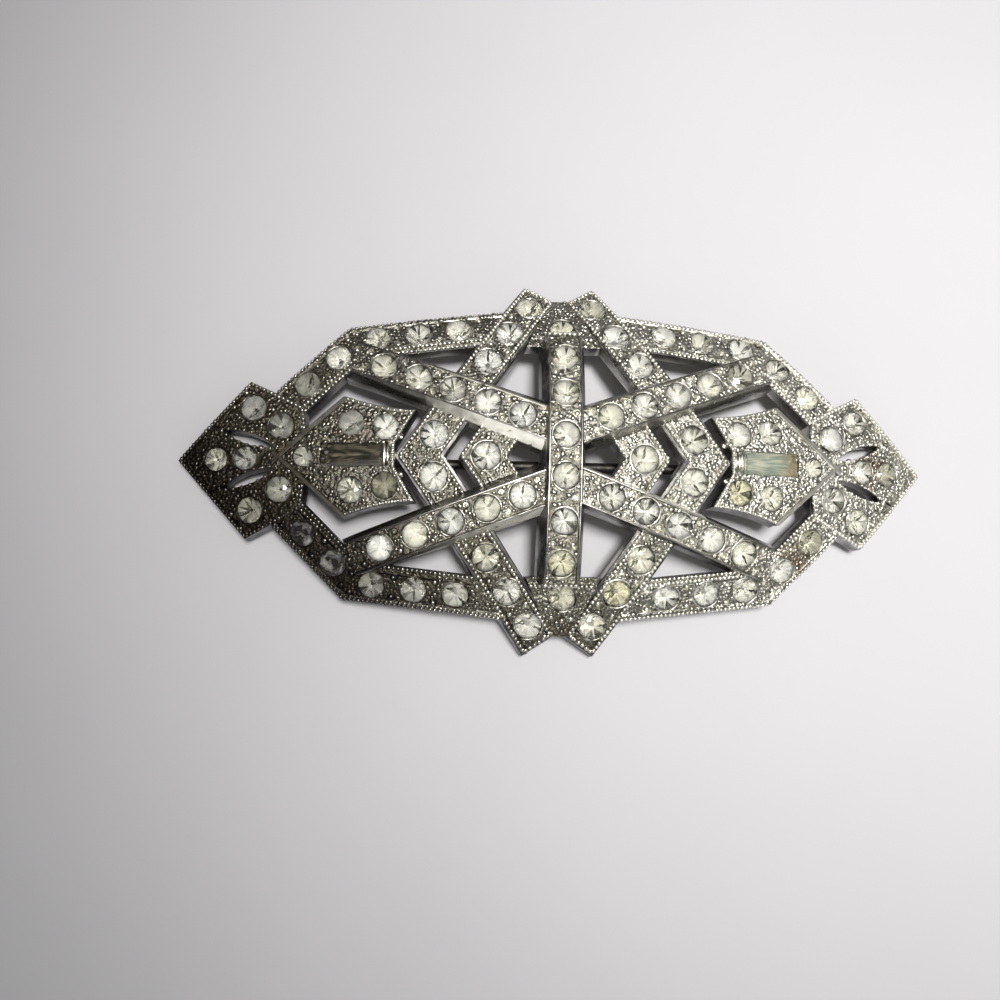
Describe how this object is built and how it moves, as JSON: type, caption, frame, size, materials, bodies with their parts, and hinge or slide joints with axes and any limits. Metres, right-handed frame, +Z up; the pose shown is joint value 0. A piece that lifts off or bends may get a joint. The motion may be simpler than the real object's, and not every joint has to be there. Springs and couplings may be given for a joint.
{
  "type": "rhinestone brooch",
  "caption": "Domed openwork brooch with pointed ends, crossing bands, chevrons and a raised centre bar, set with round rhinestones and step-cut baguettes, with a closed pin on the back.",
  "frame": {"origin": "middle of the brooch's length and width, on the surface that its tips lie on", "axes": "+X along the length to the right of the face, +Y across the width to the top of the face, +Z up out of the face"},
  "size_m": [0.0744, 0.0378, 0.011],
  "materials": {
    "plated_metal": "bright plating, worn and tarnished",
    "pin_metal": "satin",
    "round_stones": "clear, foiled on the back",
    "baguettes": "clear, foiled on the back, darkened"
  },
  "bodies": {
    "root": {"casting": "plated_metal", "pin_clasp": "pin_metal", "baguette_left": "baguettes", "baguette_right": "baguettes", "centre_bar_stones": "round_stones", "cross_band_stones": "round_stones", "chevron_stones": "round_stones", "border_stones": "round_stones", "arrow_stones": "round_stones", "terminal_stones": "round_stones"}
  },
  "joints": []
}
